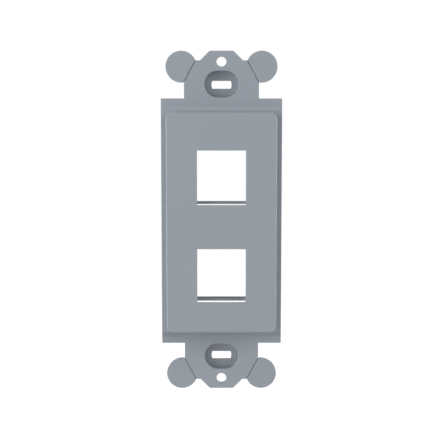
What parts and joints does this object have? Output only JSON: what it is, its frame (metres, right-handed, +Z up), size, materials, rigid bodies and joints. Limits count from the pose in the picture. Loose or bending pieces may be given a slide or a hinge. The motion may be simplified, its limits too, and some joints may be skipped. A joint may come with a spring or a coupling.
{
  "type": "keystone adapter insert",
  "caption": "Moulded insert frame for a rectangular wall plate opening, with keystone jack ports, screw tabs and break-off ears.",
  "frame": {"origin": "midway between the two box screws, on the plane of the strap's back, which those screws pull onto the wall", "axes": "+Z up along the line of the four screws, +X to the right seen from the room, -Y out of the wall along the way the face points"},
  "size_m": [0.0366, 0.0096, 0.1032],
  "materials": {
    "moulding": "fine satin moulded plastic, blue-grey"
  },
  "bodies": {
    "root": {"insert_frame": "moulding"}
  },
  "joints": []
}
